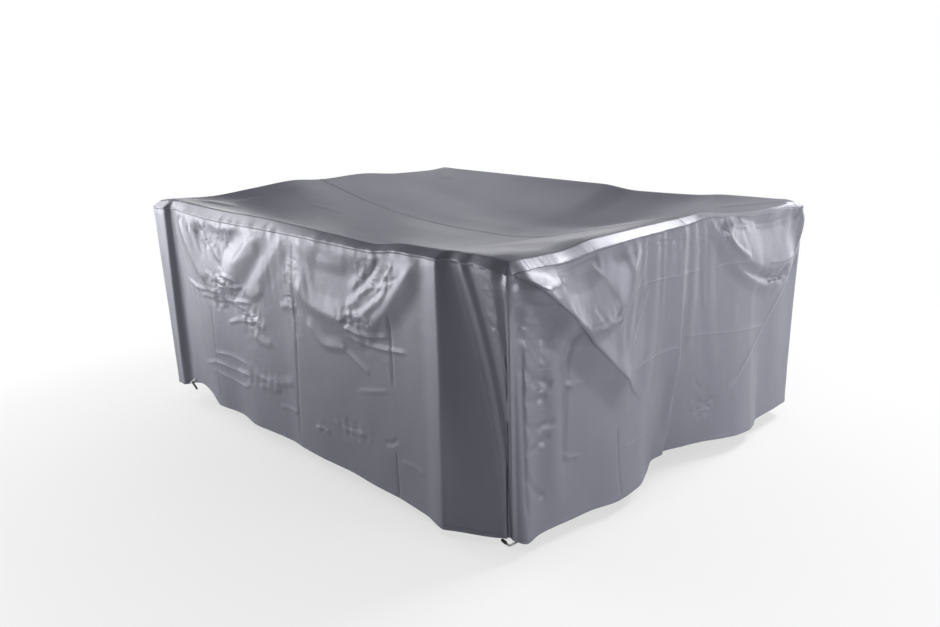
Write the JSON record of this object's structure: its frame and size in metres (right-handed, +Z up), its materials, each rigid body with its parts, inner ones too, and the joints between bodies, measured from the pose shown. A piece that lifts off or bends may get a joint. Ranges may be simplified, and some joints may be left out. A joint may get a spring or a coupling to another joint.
{
  "type": "patio furniture cover",
  "caption": "Fitted cloth cover for a large patio set, hollow and open below: a seamed top that sags inside its rim, and creased side panels that hang in uneven folds.",
  "frame": {"origin": "under the middle of the top, against the cloth, where the load carries the cover; the ground that the hem hangs over is 0.775 m below", "axes": "+Z up, +X along the long sides from the left corner of the front towards the near corner, +Y across from the front to the back"},
  "size_m": [2.2184, 1.8, 0.9021],
  "materials": {
    "cloth": "satin coated weave, mid grey",
    "webbing": "pale grey woven tape",
    "toggle": "black moulded plastic"
  },
  "bodies": {
    "root": {"top_near": "cloth", "top_far": "cloth", "skirt_front": "cloth", "skirt_right": "cloth", "skirt_back": "cloth", "skirt_left": "cloth", "tie_near": "webbing", "tie_left": "webbing", "toggle_near": "toggle", "toggle_left": "toggle"}
  },
  "joints": []
}
